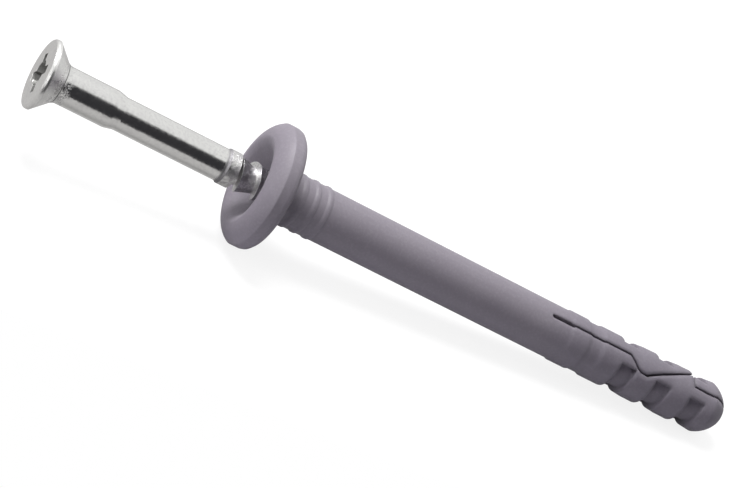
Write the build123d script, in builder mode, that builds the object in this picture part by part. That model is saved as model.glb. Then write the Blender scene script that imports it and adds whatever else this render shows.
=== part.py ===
from build123d import *
import os
from math import atan2, cos, degrees, radians, sin

os.makedirs("parts", exist_ok=True)

# Hammer fixing, about 8 x 80: a nylon sleeve with a steel drive nail set part of the way in.
# Stations run along the common axis in mm, 0 at the collar's flat underside and
# growing towards the sleeve's tip. Turns are in degrees about the axis, 0 pointing up.

# Sleeve body
sleeve_length = 78.95
shank_r = 3.82
nose_length = 2.75
nose_arc_r = 5.8
tip_wall = 0.8

# Three low rings below the collar
ring_start = 3.05
ring_pitch = 2.0
ring_count = 3
ring_height = 0.14
ring_half = 0.48
ring_crown = 0.36

# Sleeve collar with its rounded crest and dished face
collar_r = 9.08
collar_back_r = 0.94
collar_land = 1.25
collar_thick = 3.9
crest_in = 1.83
crest_bulge = 0.12
crest_width = 1.4
dish_lip_round = 0.55
dish_lip_in = 0.5
dish_lip_pull = 0.35
dish_floor = 0.3

# Expansion zone: two legs, each with barbed ribs and recesses on its outer side
zone_length = 29.85
zone_rise = 0.15
zone_ramp = 0.25
groove_in = 3.15
groove_depth = 0.2
groove_ramp = 0.5
recess_count = 3
recess_pitch = 6.475
recess_width = 2.9
recess_depth = 0.9
recess_half_turn = 63
rib_low_rise = 0.05
rib_rise = 0.21
rib_crown = 0.03
rib_ramp = 1.5
last_rib_length = 1.8

# Slots between the legs, each with one barbed step set from the first recess: (along, across)
slot_turn = -26
slot_lead = 3.5
slot_wide = 0.56
slot_width = 0.36
step_in = 1.2
step_path = ((0, 0), (1.75, -1.34), (2.45, -1.7), (3.5, -1.8), (11.45, 1.96), (11.85, 1.99), (12.15, 0))
inner_slit = 0.3
cut_over = 1.0

# Nail shank, neck and bore
nail_length = 82.0
nail_shank_r = 2.35
neck_step = 0.31
neck_length = 10.7
neck_taper = 1.3
crest_step = 0.2
bead_length = 1.8
bead_ramp = 0.25
nail_play = 0.07
guide_r = 1.4
guide_lead = 2.6
guide_taper = 5.5
point_in = 3.0
point_length = 5.0
point_r = 0.45

# Helical barb on the nail: a steep side facing the head, a long slope towards the tip
thread_in = 29.6
thread_gap = 0.1
thread_turns = 3.5
thread_pitch = 2.75
thread_depth = 0.8
thread_lean = 0.22
thread_slope = 2.25
thread_end_taper = 0.6
thread_sink = 0.03

# Countersunk head with a cross recess
head_r = 4.97
head_rim_round = 0.4
head_rim_land = 0.3
head_cone = 2.0
head_blend = 0.9
head_blend_rise = 0.42
drive_span = 5.7
drive_arm = 1.25
drive_core_r = 1.8
drive_depth = 2.9
drive_floor_span = 2.6
drive_floor_arm = 0.9
drive_floor_core_r = 0.85
drive_turn = 49

# Turn at which the revolved outlines start
outline_turn = -105.0

# Radii and stations that follow
tip_r = guide_r + tip_wall
zone_r = shank_r + zone_rise
rib_low_r = shank_r + rib_low_rise
rib_r = shank_r + rib_rise
crest_outer_r = collar_r - crest_in
dish_lip_r = crest_outer_r - crest_width
back_centre_r = collar_r - collar_back_r
neck_r = nail_shank_r + neck_step
crest_r = nail_shank_r + crest_step
bore_r = crest_r + nail_play
nose_start = sleeve_length - nose_length
zone_start = sleeve_length - zone_length
first_recess = nose_start - last_rib_length - recess_width - (recess_count - 1) * recess_pitch
recess_starts = [first_recess + i * recess_pitch for i in range(recess_count)]
groove_start = zone_start + groove_in
slot_start = zone_start - slot_lead
guide_start = slot_start - guide_lead
point_end = guide_start + point_in
point_start = point_end - point_length
head_station = point_end - nail_length
thread_station = head_station + thread_in
thread_end = thread_station + thread_gap + thread_turns * thread_pitch + thread_slope
root_r = crest_r - thread_depth
neck_end = head_station + neck_length

# Resting place: the collar's rim and the edge of the sleeve's nose touch the floor, z = 0
tilt = degrees(atan2(collar_r - rib_r, nose_start + collar_back_r))
along = Vector(cos(radians(tilt)), 0, -sin(radians(tilt)))
upward = Vector(sin(radians(tilt)), 0, cos(radians(tilt)))
axis_height = collar_r * upward.Z + collar_back_r * along.Z
rim_station = head_station + head_rim_round
rim_centre_r = head_r - head_rim_round
tip_reach = sleeve_length * along.X + tip_r * upward.X
head_reach = head_station * along.X - rim_centre_r * upward.X
origin = Vector(-(tip_reach + head_reach) / 2, 0, axis_height)
main_axis = Axis(origin, along)


def lengthwise(turn):
    """Plane through the axis: x is the station, y lies square to it, z faces the turn."""
    outward = upward * cos(radians(turn)) + Vector(0, 1, 0) * sin(radians(turn))
    return Plane(origin=origin, x_dir=along, z_dir=outward)


def crosswise(station, turn=0):
    """Plane square to the axis at a station, facing the tip, with x at the turn."""
    outward = upward * cos(radians(turn)) + Vector(0, 1, 0) * sin(radians(turn))
    return Plane(origin=origin + along * station, x_dir=outward, z_dir=along)


def rounded(station, radius, size, angles):
    """Outline points on a round about a centre, at angles from the way to the tip."""
    turns = [radians(angle) for angle in angles]
    return [(station + size * cos(turn), radius + size * sin(turn)) for turn in turns]


profile_plane = lengthwise(outline_turn)

# Sleeve, one moulding
with BuildPart() as plug_sleeve:
    with BuildSketch(profile_plane):
        with BuildLine():
            # dished face, rounded crest and rim of the collar
            land_start = -collar_back_r - collar_land
            lip = (dish_lip_round - collar_thick, dish_lip_r - dish_lip_in)
            crest = (-collar_thick, dish_lip_r + crest_width / 2)
            shoulder_s = (land_start - collar_thick) / 2 - crest_bulge
            shoulder_r = (crest_outer_r + collar_r) / 2 + crest_bulge
            Line((-dish_floor, bore_r), lip)
            dome = ThreePointArc(crest, (shoulder_s, shoulder_r), (land_start, collar_r))
            lip_pull = Vector(-0.75, 0.65) * dish_lip_pull
            Bezier(lip, Vector(*lip) + lip_pull, dome @ 0 - dome % 0 * dish_lip_pull, crest)
            back_round = rounded(-collar_back_r, back_centre_r, collar_back_r, (90, 60, 30, 0))
            Polyline((land_start, collar_r), *back_round, (0, shank_r))
            # neck with low rings
            last = 0
            for i in range(ring_count):
                ring = ring_start + i * ring_pitch
                Polyline(
                    (last, shank_r),
                    (ring - ring_half, shank_r),
                    (ring - ring_crown / 2, shank_r + ring_height),
                    (ring + ring_crown / 2, shank_r + ring_height),
                    (ring + ring_half, shank_r),
                )
                last = ring + ring_half
            # shank, and the first rib with its shallow groove
            groove_end = groove_start + recess_width
            groove_r = zone_r - groove_depth
            Polyline(
                (last, shank_r),
                (zone_start, shank_r),
                (zone_start + zone_ramp, zone_r),
                (groove_start, zone_r),
                (groove_start + groove_ramp, groove_r),
                (groove_end - groove_ramp, groove_r),
                (groove_end, zone_r),
                (first_recess, zone_r),
            )
            # barbed ribs, each rising towards the tip
            start_r = zone_r
            for start, end in zip(recess_starts, recess_starts[1:] + [nose_start]):
                Polyline(
                    (start, start_r),
                    (start + recess_width, rib_low_r),
                    (start + recess_width + rib_ramp, rib_r - rib_crown),
                    (end, rib_r),
                )
                start_r = rib_r
            # rounded nose and the bore, which narrows to guide the point
            RadiusArc((nose_start, rib_r), (sleeve_length, tip_r), nose_arc_r)
            Polyline(
                (sleeve_length, tip_r),
                (sleeve_length, guide_r),
                (guide_start + guide_taper, guide_r),
                (guide_start, bore_r),
                (-dish_floor, bore_r),
            )
        make_face()
    revolve(axis=main_axis)

    # recesses across the outer side of each leg
    floor_r = zone_r - recess_depth
    outer_r = zone_r + cut_over
    for leg_turn in (slot_turn - 90, slot_turn + 90):
        for start in recess_starts:
            with BuildSketch(crosswise(start, leg_turn)):
                with BuildLine():
                    inner_arc = CenterArc((0, 0), floor_r, -recess_half_turn, 2 * recess_half_turn)
                    outer_arc = CenterArc((0, 0), outer_r, -recess_half_turn, 2 * recess_half_turn)
                    for arc_end in (0, 1):
                        Line(inner_arc @ arc_end, outer_arc @ arc_end)
                make_face()
            extrude(amount=recess_width, mode=Mode.SUBTRACT)

    # two opposed slots that part the legs
    step = [(first_recess + step_in + x, y) for x, y in step_path]
    share = step[3][1] / (step[3][1] - step[4][1])
    cross = (step[3][0] + share * (step[4][0] - step[3][0]), 0)
    for turn in (slot_turn, slot_turn + 180):
        with BuildSketch(lengthwise(turn)):
            with Locations(((slot_start + zone_start) / 2, 0)):
                SlotCenterToCenter(slot_lead, slot_wide)
            with BuildLine():
                Polyline((slot_start, 0), *step, (sleeve_length + cut_over, 0))
            trace(line_width=slot_width)
        extrude(amount=outer_r, mode=Mode.SUBTRACT)
        with BuildSketch(lengthwise(turn)):
            with BuildLine():
                Polyline(*step[:4], cross, close=True)
            make_face()
            with BuildLine():
                Polyline(cross, *step[4:], close=True)
            make_face()
        extrude(amount=inner_slit / 2, both=True, mode=Mode.SUBTRACT)

plug_sleeve.part.label = "plug_sleeve"
export_step(plug_sleeve.part, "parts/plug_sleeve.step")

# Drive nail: countersunk head, stout neck, bead, helical barb, shank and point
with BuildPart() as drive_nail:
    with BuildSketch(profile_plane):
        with BuildLine():
            cone_start = rim_station + head_rim_land
            cone_end = cone_start + head_cone
            bead_station = thread_station - bead_length
            rim = rounded(rim_station, rim_centre_r, head_rim_round, (180, 150, 120, 90))
            Polyline((head_station, 0), *rim, (cone_start, head_r))
            cone = Line((cone_start, head_r), (cone_end, neck_r + head_blend_rise))
            TangentArc(cone @ 1, (cone_end + head_blend, neck_r), tangent=cone % 1)
            Polyline(
                (cone_end + head_blend, neck_r),
                (neck_end, neck_r),
                (neck_end + neck_taper, nail_shank_r),
                (bead_station, nail_shank_r),
                (bead_station + bead_ramp, crest_r),
                (thread_station, crest_r),
                (thread_station, root_r),
                (thread_end, root_r),
                (thread_end + thread_end_taper, nail_shank_r),
                (point_start, nail_shank_r),
                (point_end, point_r),
                (point_end, 0),
                (head_station, 0),
            )
        make_face()
    revolve(axis=main_axis)

    # helical barb, right-handed, from just past the bead
    with BuildLine():
        barb_path = Helix(
            pitch=thread_pitch,
            height=thread_turns * thread_pitch,
            radius=crest_r,
            center=origin + along * (thread_station + thread_gap),
            direction=along,
        )
    with BuildSketch(Plane(origin=barb_path @ 0, x_dir=along, z_dir=barb_path % 0)):
        with BuildLine():
            Polyline(
                (-thread_lean, -thread_depth - thread_sink),
                (0, 0),
                (thread_slope, -thread_depth - thread_sink),
                close=True,
            )
        make_face()
    sweep(path=barb_path, is_frenet=True)

    # cross recess, narrowing towards its floor
    with BuildSketch(crosswise(head_station, drive_turn)):
        Rectangle(drive_span, drive_arm)
        Rectangle(drive_arm, drive_span)
        Circle(drive_core_r)
    with BuildSketch(crosswise(head_station + drive_depth, drive_turn)):
        Rectangle(drive_floor_span, drive_floor_arm)
        Rectangle(drive_floor_arm, drive_floor_span)
        Circle(drive_floor_core_r)
    loft(ruled=True, mode=Mode.SUBTRACT)

drive_nail.part.label = "drive_nail"
export_step(drive_nail.part, "parts/drive_nail.step")
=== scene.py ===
from math import cos, radians, sin
import bpy
from mathutils import Matrix, Vector

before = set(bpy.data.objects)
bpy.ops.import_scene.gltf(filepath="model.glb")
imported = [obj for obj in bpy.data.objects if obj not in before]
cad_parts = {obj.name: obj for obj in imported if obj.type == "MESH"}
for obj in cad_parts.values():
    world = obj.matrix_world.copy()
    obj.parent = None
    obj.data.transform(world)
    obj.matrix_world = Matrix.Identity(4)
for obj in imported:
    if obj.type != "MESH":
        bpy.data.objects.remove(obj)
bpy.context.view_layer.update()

# The common axis, in metres. Stations run along it from the collar's underside (0) to the tip.
tilt = radians(3.745545732585625)
origin = Vector((-0.0213517187, 0.0, 0.0089991991))
along = Vector((cos(tilt), 0.0, -sin(tilt)))
upward = Vector((sin(tilt), 0.0, cos(tilt)))
# Square to the axis: side_x is 30 degrees above the horizontal, towards the camera's side.
side_x = upward * 0.5 - Vector((0, 1, 0)) * sin(radians(60))
side_y = upward * cos(radians(30)) + Vector((0, 1, 0)) * 0.5

MM = 0.001
PER_METRE = 1000

# The camera, fitted to the photograph's outline: its axes and place are along side_x, side_y and
# back along the axis.
CAMERA_RIGHT = (0.35290857, 0.45053526, -0.82004483)
CAMERA_DOWN = (0.17941602, -0.89275771, -0.41327177)
CAMERA_PLACE = (274.547, 0.0, 101.7)
IMAGE_WIDTH = 745
FOCAL_PIXELS = 2156.01
SENSOR_WIDTH = 36

# The nylon sleeve: colours, a painted shade that darkens it from the expansion zone to the tip,
# and the stations where the expansion zone takes over.
NYLON_DEEP = (0.178, 0.160, 0.190)
NYLON_PALE = (0.198, 0.180, 0.208)
NYLON_FLECK = (0.23, 0.212, 0.24)
ZONE_PAINTED_SHADE = (0.88, 0.88, 0.9)
ZONE_SHADE_SPAN = (44.0, 52.0)
ZONE_EDGES = (44.0, 48.0)
SHANK_EDGE, ZONE_EDGE = 0.0003, 0.0009

# The nail: colours of its plating, and of the painted shade in its recess, on its barb's slopes
# and at its bead's step.
ZINC_DEEP = (0.80, 0.80, 0.785)
ZINC_PALE = (0.94, 0.94, 0.915)
ZINC_GREY = (0.70, 0.685, 0.69)
BARB_GREY = (0.52, 0.51, 0.515)
SCUFF_AND_SHADE_GREY = (0.36, 0.35, 0.37)
PAINTED_SHADE_GREY = (0.58, 0.57, 0.59)
RISE_PAINTED_SHADE = (0.27, 0.263, 0.275)
RECESS_PAINTED_SHADE = (0.14, 0.14, 0.135)

# The nail: stations in millimetres between which a finish or a painted shade comes in or fades
# out. Four of them are
#  a band that does both.
HEAD_FACE = (-35.97, -35.9)
HEAD = (-34.6, -33.2)
RECESS = (-35.99, -35.9, -33.05, -32.95)
RECESS_REACH = (2.9, 3.0)
NECK = (-34.4, -33.6, -32.4, -31.2)
BEAD_RISE = (-8.7, -8.3, -8.0, -7.8)
BEAD_STEP = (-10.0, -9.0, -7.9, -7.6)
BARB = (-9.0, -7.4)

# The studio. Angles are in degrees about the axis, from side_x.
FLOOR_FRONT, FLOOR_REACH = -0.035, 3
FLOOR_WHITE = (0.9, 0.9, 0.9)
FLOOR_TO_METAL = (0.2, 0.195, 0.195)
FLOOR_BOUNCE = (0.6, 0.59, 0.64)
GLOW_STRENGTH = 1.05
CAMERA_GLOW, METAL_GLOW = 0.8, 0.22
DARK_FROM = (-66, -54)
DARK_TO = (20, 34)
ROOM_DARK = (0.03, 0.0295, 0.033)
ROOM_LIGHT = (0.8, 0.8, 0.8)
WHITE = (1, 1, 1)
LAMP_TARGET = Vector((0, 0, 0.006))


def from_axis(x, y, z):
    """A direction given along side_x, side_y and back along the axis."""
    return side_x * x + side_y * y - along * z


def make_camera():
    """The photograph's view: a matched place and focal length, with no shift."""
    right = from_axis(*CAMERA_RIGHT).normalized()
    down = from_axis(*CAMERA_DOWN).normalized()
    forward = right.cross(-down) * -1
    data = bpy.data.cameras.new("camera")
    data.lens = SENSOR_WIDTH * FOCAL_PIXELS / IMAGE_WIDTH
    data.sensor_width = SENSOR_WIDTH
    data.clip_start = 0.01
    data.clip_end = 20
    camera = bpy.data.objects.new("camera", data)
    bpy.context.scene.collection.objects.link(camera)
    place = Matrix((right, -down, -forward)).transposed().to_4x4()
    place.translation = origin + from_axis(*CAMERA_PLACE) * MM
    camera.matrix_world = place
    bpy.context.scene.camera = camera


class Tree:
    """The node tree of a new material or world, with short names for the nodes in use."""

    def __init__(self, data, name):
        self.owner = data.new(name)
        self.owner.use_nodes = True
        self.tree = self.owner.node_tree
        self.tree.nodes.clear()

    def node(self, kind, **values):
        made = self.tree.nodes.new("ShaderNode" + kind)
        for key, value in values.items():
            setattr(made, key, value)
        return made

    def put(self, socket, value):
        """Links a socket to another, or gives it a value."""
        if isinstance(value, bpy.types.NodeSocket):
            self.tree.links.new(value, socket)
        else:
            socket.default_value = value

    def output(self, shader, kind="OutputMaterial"):
        self.put(self.node(kind).inputs[0], shader.outputs[0])
        return self.owner

    def math(self, operation, *values, clamp=False):
        made = self.node("Math", operation=operation, use_clamp=clamp)
        for socket, value in zip(made.inputs, values):
            self.put(socket, value)
        return made.outputs[0]

    def times(self, a, b):
        return self.math("MULTIPLY", a, b)

    def plus(self, a, b):
        return self.math("ADD", a, b)

    def larger(self, a, b):
        return self.math("MAXIMUM", a, b)

    def dot(self, a, b):
        made = self.node("VectorMath", operation="DOT_PRODUCT")
        self.put(made.inputs[0], a)
        self.put(made.inputs[1], tuple(b))
        return made.outputs["Value"]

    def joined(self, parts):
        made = self.node("CombineXYZ")
        for socket, part in zip(made.inputs, parts):
            self.put(socket, part)
        return made.outputs[0]

    def span(self, value, low, high, to_low=0.0, to_high=1.0):
        """Smoothly from to_low, below low, to to_high, above high."""
        made = self.node("MapRange", interpolation_type="SMOOTHSTEP")
        for socket, number in zip(made.inputs, (value, low, high, to_low, to_high)):
            self.put(socket, number)
        return made.outputs[0]

    def band(self, value, rise, full, fade, end, level=1.0):
        """Level between full and fade, and nothing before rise and after end."""
        return self.times(self.span(value, rise, full), self.span(value, fade, end, level, 0.0))

    def mix(self, share, a, b, blend="MIX"):
        made = self.node("Mix", data_type="RGBA", blend_type=blend)
        self.put(made.inputs[0], share)
        for socket, value in ((made.inputs[6], a), (made.inputs[7], b)):
            self.put(socket, (*value, 1) if isinstance(value, tuple) else value)
        return made.outputs[2]

    def noise(self, vector, scale, detail, rough):
        made = self.node("TexNoise")
        self.put(made.inputs["Vector"], vector)
        made.inputs["Scale"].default_value = scale
        made.inputs["Detail"].default_value = detail
        made.inputs["Roughness"].default_value = rough
        return made.outputs["Fac"]

    def bump(self, height, strength, distance, normal):
        made = self.node("Bump")
        made.inputs["Strength"].default_value = strength
        made.inputs["Distance"].default_value = distance
        self.put(made.inputs["Height"], height)
        self.put(made.inputs["Normal"], normal)
        return made.outputs["Normal"]


def axis_coordinates(t):
    """Station, and the distances along side_x and side_y, of the shaded point in millimetres."""
    offset = t.node("VectorMath", operation="SUBTRACT")
    t.put(offset.inputs[0], t.node("TexCoord").outputs["Object"])
    offset.inputs[1].default_value = origin
    return [t.dot(offset.outputs[0], v * PER_METRE) for v in (along, side_x, side_y)]


def nylon():
    """Matt moulded nylon: cloudy mauve grey with flecks, painted shade darker from the expansion
    zone on, edges rounder on the expansion zone.
    """
    t = Tree(bpy.data.materials, "nylon")
    parts = axis_coordinates(t)
    station, where = parts[0], t.joined(parts)
    cloud = t.noise(where, 0.16, 3.0, 0.55)
    speck = t.noise(where, 2.6, 3.0, 0.6)
    grain = t.noise(where, 5.5, 3.0, 0.6)

    base = t.mix(cloud, NYLON_DEEP, NYLON_PALE)
    base = t.mix(t.span(speck, 0.42, 0.72), base, t.mix(0.5, base, NYLON_FLECK))
    # Painted shade: from the expansion zone to the tip the colour is multiplied darker, faded in
    # by ZONE_SHADE_SPAN in the base colour below.
    shaded = t.mix(1.0, base, ZONE_PAINTED_SHADE, blend="MULTIPLY")
    edge = t.node("Bevel", samples=12)
    t.put(edge.inputs["Radius"], t.span(station, *ZONE_EDGES, SHANK_EDGE, ZONE_EDGE))
    normal = t.bump(grain, 0.25, 0.00004, edge.outputs[0])

    shader = t.node("BsdfPrincipled")
    t.put(shader.inputs["Base Color"], t.mix(t.span(station, *ZONE_SHADE_SPAN), base, shaded))
    t.put(shader.inputs["Roughness"], t.span(cloud, 0.2, 0.8, 0.46, 0.58))
    t.put(shader.inputs["Normal"], t.bump(cloud, 0.3, 0.0002, normal))
    shader.inputs["Specular IOR Level"].default_value = 0.42
    shader.inputs["Subsurface Weight"].default_value = 0.12
    shader.inputs["Subsurface Radius"].default_value = (1.0, 0.9, 1.0)
    shader.inputs["Subsurface Scale"].default_value = 0.0008
    return t.output(shader)


def zinc():
    """Bright zinc over drawn wire: lengthwise lines, cloudy plating, scuffs and a duller barb,
    with painted shade in the head's recess, on the barb's tip-facing slopes and at the bead's
    step.
    """
    t = Tree(bpy.data.materials, "zinc_steel")
    station, x, y = parts = axis_coordinates(t)
    where = t.joined(parts)
    drawn = t.joined(t.times(part, scale) for part, scale in zip(parts, (0.12, 3.2, 3.2)))
    cloud = t.noise(where, 0.45, 4.0, 0.6)
    fine = t.noise(where, 2.4, 4.0, 0.65)
    lines = t.noise(drawn, 1.0, 3.0, 0.6)
    waves = t.noise(where, 1.3, 3.0, 0.6)

    # Masks: which finish, and which painted shade, lies where
    barb = t.span(station, *BARB)
    head = t.span(station, *HEAD, 1.0, 0.0)
    face = t.span(station, *HEAD_FACE, 1.0, 0.0)
    neck = t.times(t.band(station, *NECK), t.span(y, -0.2, 0.9, 1.0, 0.15))
    off_axis = t.math("SQRT", t.plus(t.times(x, x), t.times(y, y)))
    recess = t.times(t.band(station, *RECESS), t.span(off_axis, *RECESS_REACH, 1.0, 0.0))
    scuff = t.times(t.larger(barb, neck), t.span(fine, 0.45, 0.62))
    rise = t.band(station, *BEAD_RISE, 0.3)
    # The barb's slopes that face the tip, and the step's flank that faces the head, get painted
    # shade that dims their highlights.
    lean = t.dot(t.node("NewGeometry").outputs["Normal"], along)
    slope = t.times(barb, t.span(lean, 0.1, 0.25, 0.0, 0.9))
    step = t.times(t.span(lean, -0.2, -0.02, 0.95, 0.0), t.band(station, *BEAD_STEP))

    base = t.mix(cloud, ZINC_DEEP, ZINC_PALE)
    base = t.mix(t.times(t.span(fine, 0.4, 0.7), 0.5), base, ZINC_GREY)
    # The barb and the scuffs are the plating's own greys; the head's recess gets painted shade.
    for mask, share, colour in (
        (barb, 0.4, BARB_GREY),
        (scuff, 0.45, SCUFF_AND_SHADE_GREY),
        (recess, 0.9, RECESS_PAINTED_SHADE),
    ):
        base = t.mix(t.times(mask, share), base, colour)
    # Painted shade on the barb's tip-facing slopes and on the step's head-facing flank; the scuffs
    # share its darker grey.
    painted_shade = t.mix(t.span(fine, 0.5, 0.62), SCUFF_AND_SHADE_GREY, PAINTED_SHADE_GREY)
    base = t.mix(t.larger(slope, step), base, painted_shade)
    # Painted shade on the bead's rise, dimming its highlight.
    base = t.mix(t.times(rise, 2.9), base, RISE_PAINTED_SHADE)

    rough = t.span(fine, 0.25, 0.75, 0.13, 0.24)
    for more in (
        t.larger(t.times(barb, 0.15), t.times(head, 0.14)),
        t.times(recess, 0.25),
        rise,
        t.times(scuff, 0.1),
    ):
        rough = t.plus(rough, more)

    edge = t.node("Bevel", samples=6)
    edge.inputs["Radius"].default_value = 0.00008
    normal = edge.outputs[0]
    for height, strength, distance in (
        (lines, 0.22, 0.00003),
        (fine, 0.35, 0.00005),
        (t.times(waves, face), 0.5, 0.00008),
        (t.times(scuff, t.plus(t.times(neck, 0.4), 0.3)), 0.6, 0.00008),
    ):
        normal = t.bump(height, strength, distance, normal)

    shader = t.node("BsdfPrincipled")
    t.put(shader.inputs["Base Color"], base)
    t.put(shader.inputs["Roughness"], rough)
    t.put(shader.inputs["Normal"], normal)
    shader.inputs["Metallic"].default_value = 1.0
    return t.output(shader)


def paper():
    """Pale floor with the part's soft shadow: white to the camera, and pale grey to metal, which
    sees a part of the same white."""
    t = Tree(bpy.data.materials, "paper")
    path = t.node("LightPath")
    camera_ray = path.outputs["Is Camera Ray"]
    mirrored = t.larger(path.outputs["Is Glossy Ray"], path.outputs["Is Transmission Ray"])
    tone = t.mix(mirrored, FLOOR_BOUNCE, FLOOR_TO_METAL)
    diffuse = t.node("BsdfDiffuse")
    t.put(diffuse.inputs["Color"], t.mix(camera_ray, tone, FLOOR_WHITE))
    glow = t.node("Emission")
    glow.inputs["Color"].default_value = (*WHITE, 1)
    glow.inputs["Strength"].default_value = GLOW_STRENGTH
    blend = t.node("MixShader")
    share = t.plus(t.times(camera_ray, CAMERA_GLOW), t.times(mirrored, METAL_GLOW))
    for socket, value in zip(blend.inputs, (share, diffuse.outputs[0], glow.outputs[0])):
        t.put(socket, value)
    return t.output(blend)


def surroundings():
    """Even studio light, with a dark room on the camera's side. To the camera it is all white."""
    t = Tree(bpy.data.worlds, "surroundings")
    direction = t.node("TexCoord").outputs["Generated"]
    turn = t.math("ARCTAN2", t.dot(direction, side_y), t.dot(direction, side_x))
    turn = t.math("DEGREES", turn)
    lit = t.math("ADD", t.span(turn, *DARK_FROM, 1.0, 0.0), t.span(turn, *DARK_TO), clamp=True)
    studio = t.mix(lit, ROOM_DARK, ROOM_LIGHT)
    back = t.node("Background")
    t.put(back.inputs["Color"], t.mix(t.node("LightPath").outputs["Is Camera Ray"], studio, WHITE))
    back.inputs["Strength"].default_value = 1.0
    bpy.context.scene.world = t.output(back, "OutputWorld")


def area(name, direction, distance, size, power):
    """A round soft lamp that shines on the part from a direction."""
    data = bpy.data.lights.new(name, "AREA")
    data.shape = "DISK"
    data.size = size
    data.energy = power
    lamp = bpy.data.objects.new(name, data)
    bpy.context.scene.collection.objects.link(lamp)
    lamp.location = LAMP_TARGET + direction.normalized() * distance
    lamp.rotation_mode = "QUATERNION"
    lamp.rotation_quaternion = direction.to_track_quat("Z", "Y")


def lay_floor():
    """The floor ends a little in front of the part, where its reflection in the nail ends."""
    mesh = bpy.data.meshes.new("floor")
    reach = FLOOR_REACH
    corners = [(-reach, FLOOR_FRONT), (reach, FLOOR_FRONT), (reach, reach), (-reach, reach)]
    mesh.from_pydata([(x, y, 0) for x, y in corners], [], [(0, 1, 2, 3)])
    mesh.materials.append(paper())
    floor = bpy.data.objects.new("floor", mesh)
    bpy.context.scene.collection.objects.link(floor)


make_camera()

for name, material in (("plug_sleeve", nylon()), ("drive_nail", zinc())):
    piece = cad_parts[name]
    piece.data.materials.clear()
    piece.data.materials.append(material)

lay_floor()
surroundings()
area("key", from_axis(0.2, 0.85, 0.4), distance=0.42, size=0.25, power=2.25)
area("fill", from_axis(0.8, -0.05, 1.0), distance=0.2, size=0.16, power=0.13)

bpy.context.scene.view_settings.view_transform = "Standard"
